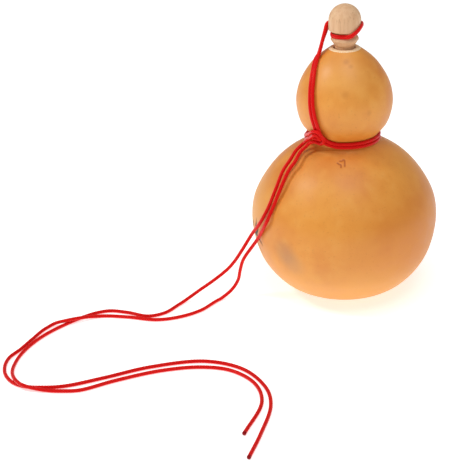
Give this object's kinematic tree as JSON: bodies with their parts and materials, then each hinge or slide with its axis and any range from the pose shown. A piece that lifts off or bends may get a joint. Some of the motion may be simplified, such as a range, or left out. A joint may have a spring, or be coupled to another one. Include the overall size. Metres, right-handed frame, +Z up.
{
  "type": "gourd bottle",
  "caption": "Hollow dried bottle gourd with a turned wooden stopper tied on by a red cord that goes round its waist and trails loose on the surface.",
  "frame": {"origin": "middle of the flat spot on the gourd's base, on the surface it stands on", "axes": "+Z up along the gourd's axis towards the stopper; -Y is the front; the cord trails to -X"},
  "size_m": [0.234, 0.2281, 0.1684],
  "materials": {
    "gourd_rind": "dried rind with a soft waxed sheen",
    "stopper_wood": "bare turned wood",
    "red_cord": "satin braid"
  },
  "bodies": {
    "root": {"gourd": "gourd_rind", "stopper": "stopper_wood", "cord_tie": "red_cord", "cord_tail_left": "red_cord", "cord_tail_right": "red_cord"}
  },
  "joints": []
}
